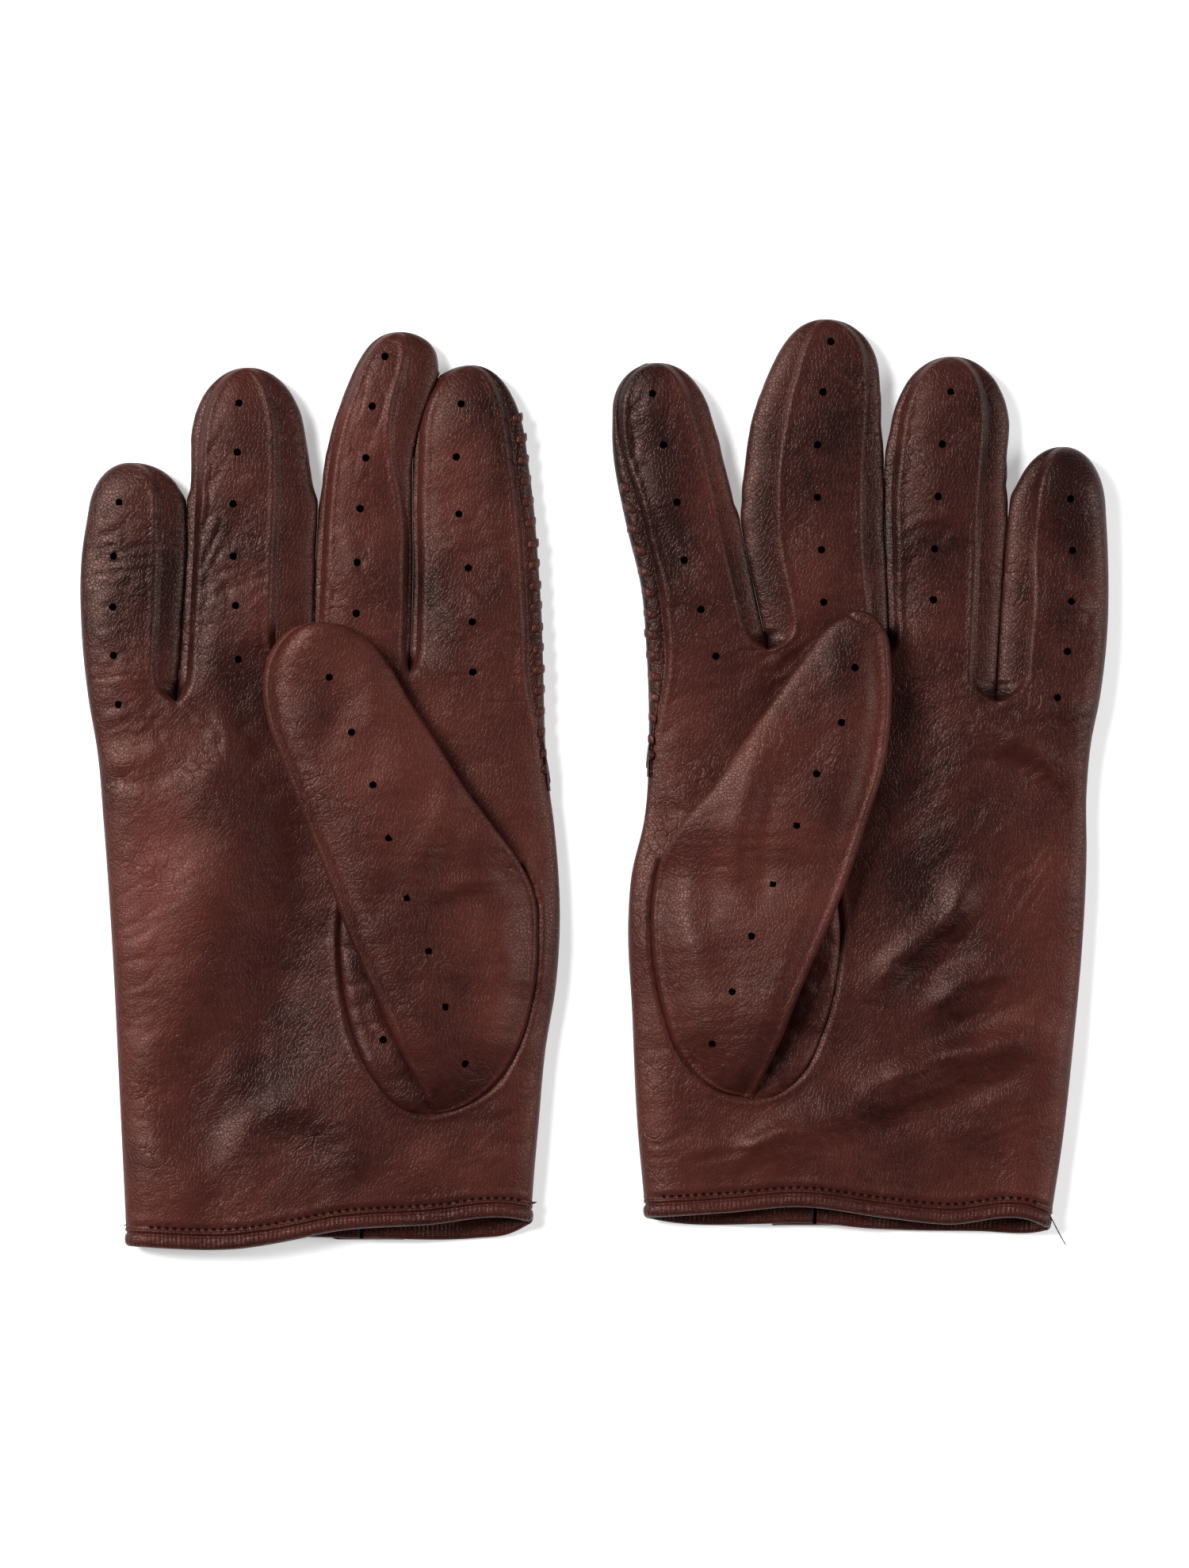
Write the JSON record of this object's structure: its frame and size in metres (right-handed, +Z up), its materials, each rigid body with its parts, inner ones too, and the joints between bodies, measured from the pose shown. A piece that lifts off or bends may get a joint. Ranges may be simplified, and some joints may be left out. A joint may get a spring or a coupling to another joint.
{
  "type": "pair of leather driving gloves",
  "caption": "Pair of full-finger leather driving gloves lying palm up, with perforated fingers, laced side seam, thumb folded over the palm and a snapped wrist vent.",
  "frame": {"origin": "middle of the pair's footprint, on the surface the gloves lie on", "axes": "+X from the right-hand glove to the left-hand glove, +Y from the cuffs to the fingertips, +Z up out of the palms"},
  "size_m": [0.2596, 0.2342, 0.0178],
  "materials": {
    "glove_leather": "dyed lambskin, semi-gloss, fine grain",
    "side_leather": "dyed lambskin of the finger sides, semi-gloss",
    "bound_edge": "dyed lambskin, turned and stitched at the cuff",
    "snap_brass": "antiqued press stud"
  },
  "bodies": {
    "right_hand": {"right_palm": "glove_leather", "right_back": "glove_leather", "right_side_seam": "side_leather", "right_outer_fold": "side_leather", "right_fourchette_pinky_ring": "side_leather", "right_fourchette_ring_middle": "side_leather", "right_fourchette_middle_index": "side_leather", "right_cuff_binding": "bound_edge", "right_thumb_gusset": "glove_leather", "right_snap_stud": "snap_brass"},
    "right_thumb": {"right_thumb_upper": "glove_leather", "right_thumb_under": "glove_leather"},
    "right_vent": {"right_vent_flap": "glove_leather", "right_snap_cap": "snap_brass"},
    "right_pinky": {"right_pinky_back": "glove_leather", "right_pinky_fourchette_right": "side_leather", "right_pinky_front": "glove_leather", "right_pinky_outer_fold": "side_leather"},
    "right_ring": {"right_ring_back": "glove_leather", "right_ring_fourchette_left": "side_leather", "right_ring_fourchette_right": "side_leather", "right_ring_front": "glove_leather"},
    "right_middle": {"right_middle_back": "glove_leather", "right_middle_fourchette_left": "side_leather", "right_middle_fourchette_right": "side_leather", "right_middle_front": "glove_leather"},
    "right_index": {"right_index_back": "glove_leather", "right_index_fourchette_left": "side_leather", "right_index_front": "glove_leather", "right_index_side_strip": "side_leather"},
    "left_hand": {"left_palm": "glove_leather", "left_back": "glove_leather", "left_side_seam": "side_leather", "left_outer_fold": "side_leather", "left_fourchette_index_middle": "side_leather", "left_fourchette_middle_ring": "side_leather", "left_fourchette_ring_pinky": "side_leather", "left_cuff_binding": "bound_edge", "left_thumb_gusset": "glove_leather", "left_snap_stud": "snap_brass"},
    "left_thumb": {"left_thumb_upper": "glove_leather", "left_thumb_under": "glove_leather"},
    "left_vent": {"left_vent_flap": "glove_leather", "left_snap_cap": "snap_brass"},
    "left_index": {"left_index_back": "glove_leather", "left_index_fourchette_right": "side_leather", "left_index_front": "glove_leather", "left_index_side_strip": "side_leather"},
    "left_middle": {"left_middle_back": "glove_leather", "left_middle_fourchette_left": "side_leather", "left_middle_fourchette_right": "side_leather", "left_middle_front": "glove_leather"},
    "left_ring": {"left_ring_back": "glove_leather", "left_ring_fourchette_left": "side_leather", "left_ring_fourchette_right": "side_leather", "left_ring_front": "glove_leather"},
    "left_pinky": {"left_pinky_back": "glove_leather", "left_pinky_fourchette_left": "side_leather", "left_pinky_front": "glove_leather", "left_pinky_outer_fold": "side_leather"}
  },
  "joints": [
    {"name": "left_glove_apart", "type": "slide", "parent": "right_hand", "child": "left_hand", "axis": [1, 0, 0], "range_m": [0, 0.12]},
    {"name": "right_pinky_curl", "type": "hinge", "parent": "right_hand", "child": "right_pinky", "pos_m": [-0.11613, 0.0509, 0.0098], "axis": [1, 0, 0], "range_deg": [0, 100]},
    {"name": "right_ring_curl", "type": "hinge", "parent": "right_hand", "child": "right_ring", "pos_m": [-0.08713, 0.0634, 0.0098], "axis": [1, 0, 0], "range_deg": [0, 100]},
    {"name": "right_middle_curl", "type": "hinge", "parent": "right_hand", "child": "right_middle", "pos_m": [-0.05813, 0.0619, 0.0098], "axis": [1, 0, 0], "range_deg": [0, 100]},
    {"name": "right_index_curl", "type": "hinge", "parent": "right_hand", "child": "right_index", "pos_m": [-0.03013, 0.062, 0.0098], "axis": [1, 0, 0], "range_deg": [0, 100]},
    {"name": "right_thumb_swing", "type": "hinge", "parent": "right_hand", "child": "right_thumb", "pos_m": [-0.04053, -0.0833, 0.0178], "axis": [0.4059, 0.9139, 0], "range_deg": [0, 75]},
    {"name": "right_vent_open", "type": "hinge", "parent": "right_hand", "child": "right_vent", "pos_m": [-0.04813, -0.0931, 0.0021], "axis": [0, -1, 0], "range_deg": [0, 60]},
    {"name": "left_index_curl", "type": "hinge", "parent": "left_hand", "child": "left_index", "pos_m": [0.02089, 0.0636, 0.0098], "axis": [1, 0, 0], "range_deg": [0, 100]},
    {"name": "left_middle_curl", "type": "hinge", "parent": "left_hand", "child": "left_middle", "pos_m": [0.05539, 0.0656, 0.0098], "axis": [1, 0, 0], "range_deg": [0, 100]},
    {"name": "left_ring_curl", "type": "hinge", "parent": "left_hand", "child": "left_ring", "pos_m": [0.08839, 0.0657, 0.0098], "axis": [1, 0, 0], "range_deg": [0, 100]},
    {"name": "left_pinky_curl", "type": "hinge", "parent": "left_hand", "child": "left_pinky", "pos_m": [0.11689, 0.0519, 0.0098], "axis": [1, 0, 0], "range_deg": [0, 100]},
    {"name": "left_thumb_swing", "type": "hinge", "parent": "left_hand", "child": "left_thumb", "pos_m": [0.01509, -0.0221, 0.0178], "axis": [0.402, -0.9156, 0], "range_deg": [0, 75]},
    {"name": "left_vent_open", "type": "hinge", "parent": "left_hand", "child": "left_vent", "pos_m": [0.04489, -0.0895, 0.0021], "axis": [0, 1, 0], "range_deg": [0, 60]}
  ]
}
